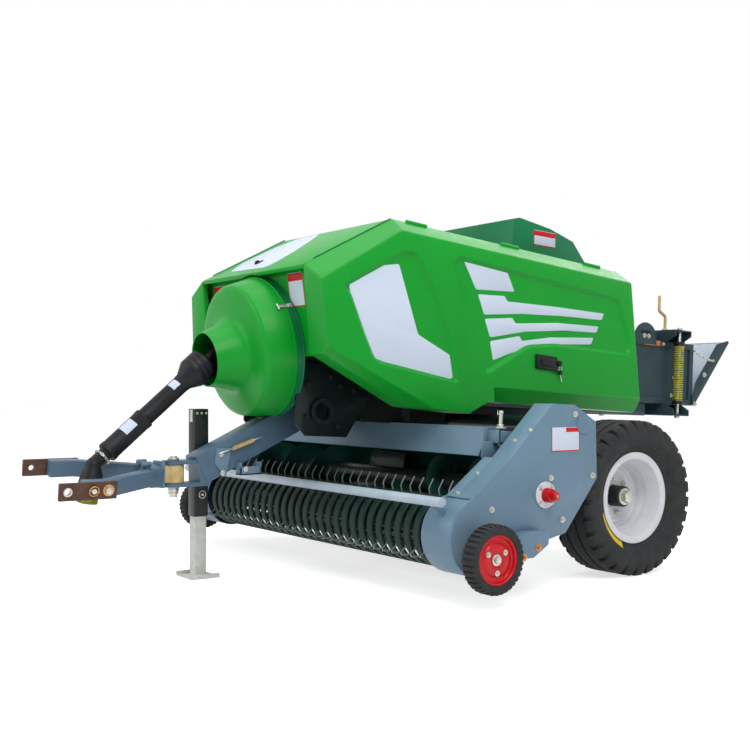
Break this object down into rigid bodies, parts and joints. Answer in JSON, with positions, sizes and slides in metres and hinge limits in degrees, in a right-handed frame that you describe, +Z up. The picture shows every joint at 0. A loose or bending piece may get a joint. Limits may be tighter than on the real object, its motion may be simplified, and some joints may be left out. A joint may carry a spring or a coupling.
{
  "type": "in-line small square baler",
  "caption": "Towed in-line square baler with a tined pickup, feed auger, bale chamber with spring tension gear, hinged hoods, flywheel cover, driveline, swivel hitch fork and parking jack.",
  "frame": {"origin": "on the ground under the middle of the bounding box", "axes": "+X along the direction of travel, +Y to the machine's left, +Z up"},
  "size_m": [4.4011, 2.704, 1.846],
  "materials": {
    "green_paint": "gloss",
    "dark_green_paint": "gloss",
    "slate_paint": "satin",
    "blue_grey_paint": "satin",
    "black_paint": "satin",
    "cast_iron": "rough",
    "zinc": "satin",
    "windguard_paint": "satin",
    "brown_paint": "satin",
    "tan_paint": "satin",
    "black_plastic": "matte",
    "olive_paint": "satin",
    "red_paint": "gloss",
    "spring_paint": "satin",
    "rim_paint": "satin",
    "tyre": "matte"
  },
  "bodies": {
    "chassis": {"main_frame": "slate_paint", "axle_beam": "slate_paint", "chamber_left": "slate_paint", "chamber_right": "slate_paint", "chamber_floor": "slate_paint", "chamber_roof": "slate_paint", "plunger": "black_paint", "gearbox": "black_paint", "flywheel": "cast_iron", "flywheel_cover": "green_paint", "cover_ring": "dark_green_paint", "front_hood": "green_paint", "roof_panel": "dark_green_paint", "hood_frame": "black_paint", "front_frame": "black_paint", "drawbar": "blue_grey_paint", "hitch_pin": "zinc", "jack_tube": "black_paint", "tension_beams": "slate_paint", "tension_springs": "spring_paint", "tension_cranks": "zinc", "length_sector": "slate_paint", "chute_chains": "zinc", "feed_beam": "blue_grey_paint", "stop_rods": "zinc", "lift_tube": "black_paint"},
    "left_hood": {"left_hood": "green_paint"},
    "right_hood": {"right_hood": "green_paint"},
    "knotter_lid": {"knotter_cover": "dark_green_paint"},
    "chute": {"chute": "blue_grey_paint"},
    "jack_leg": {"jack_leg": "zinc"},
    "hitch_swivel": {"swivel_bush": "tan_paint"},
    "hitch_fork": {"fork_arms": "blue_grey_paint", "fork_straps": "brown_paint"},
    "driveline": {"pto_guard": "black_plastic", "pto_yoke": "olive_paint"},
    "pickup": {"end_plate_left": "blue_grey_paint", "end_plate_right": "blue_grey_paint", "reel_shields": "blue_grey_paint", "strippers": "black_paint", "windguard": "windguard_paint", "auger_trough": "dark_green_paint", "gauge_arms": "blue_grey_paint", "bearing_caps": "red_paint"},
    "reel": {"reel": "black_paint"},
    "auger": {"auger": "black_paint"},
    "gauge_wheel_left": {"gauge_tyre_left": "tyre", "gauge_rim_left": "red_paint"},
    "gauge_wheel_right": {"gauge_tyre_right": "tyre", "gauge_rim_right": "red_paint"},
    "wheel_left": {"tyre_left": "tyre", "rim_left": "rim_paint", "hub_left": "black_paint"},
    "wheel_right": {"tyre_right": "tyre", "rim_right": "rim_paint", "hub_right": "black_paint"}
  },
  "joints": [
    {"name": "wheel_left_spin", "type": "hinge", "parent": "chassis", "child": "wheel_left", "pos_m": [-0.39501, 0.97, 0.38], "axis": [0, 1, 0], "continuous": true},
    {"name": "wheel_right_spin", "type": "hinge", "parent": "chassis", "child": "wheel_right", "pos_m": [-0.39501, -0.97, 0.38], "axis": [0, 1, 0], "continuous": true},
    {"name": "pickup_lift", "type": "hinge", "parent": "chassis", "child": "pickup", "pos_m": [0.11056, 0, 0.75289], "axis": [0, -1, 0], "range_deg": [0, 10]},
    {"name": "reel_spin", "type": "hinge", "parent": "pickup", "child": "reel", "pos_m": [0.71999, 0, 0.285], "axis": [0, 1, 0], "continuous": true},
    {"name": "auger_spin", "type": "hinge", "parent": "pickup", "child": "auger", "pos_m": [0.35299, 0, 0.446], "axis": [0, 1, 0], "continuous": true},
    {"name": "gauge_left_spin", "type": "hinge", "parent": "pickup", "child": "gauge_wheel_left", "pos_m": [0.75899, 1.315, 0.212], "axis": [0, 1, 0], "continuous": true},
    {"name": "gauge_right_spin", "type": "hinge", "parent": "pickup", "child": "gauge_wheel_right", "pos_m": [0.75899, -1.315, 0.212], "axis": [0, 1, 0], "continuous": true},
    {"name": "hitch_turn", "type": "hinge", "parent": "chassis", "child": "hitch_swivel", "pos_m": [1.57256, 0, 0.5151], "axis": [0, 0, 1], "range_deg": [-27, 27]},
    {"name": "hitch_roll", "type": "hinge", "parent": "hitch_swivel", "child": "hitch_fork", "pos_m": [1.68756, 0, 0.5151], "axis": [1, 0, 0], "range_deg": [-6, 24]},
    {"name": "driveline_swing", "type": "hinge", "parent": "chassis", "child": "driveline", "pos_m": [1.30702, 0, 1.12814], "axis": [0, 0, 1], "range_deg": [-16, 16]},
    {"name": "jack_slide", "type": "slide", "parent": "chassis", "child": "jack_leg", "axis": [0, 0, 1], "range_m": [0, 0.24]},
    {"name": "left_hood_lift", "type": "hinge", "parent": "chassis", "child": "left_hood", "pos_m": [0.68292, 0.50015, 1.72326], "axis": [0.9951, 0, 0.099], "range_deg": [0, 55]},
    {"name": "right_hood_lift", "type": "hinge", "parent": "chassis", "child": "right_hood", "pos_m": [0.68292, -0.50015, 1.72326], "axis": [-0.9951, 0, -0.099], "range_deg": [0, 55]},
    {"name": "knotter_lid_lift", "type": "hinge", "parent": "chassis", "child": "knotter_lid", "pos_m": [-0.26144, 0, 1.62959], "axis": [0, 1, 0], "range_deg": [0, 75]},
    {"name": "chute_fold", "type": "hinge", "parent": "chassis", "child": "chute", "pos_m": [-1.85318, 0, 0.81879], "axis": [0, 1, 0], "range_deg": [0, 35], "deforming": ["chute_chains"]}
  ],
  "couplings": [
    {"joint": "driveline_swing", "follows": "hitch_turn", "ratio": 0.58}
  ]
}
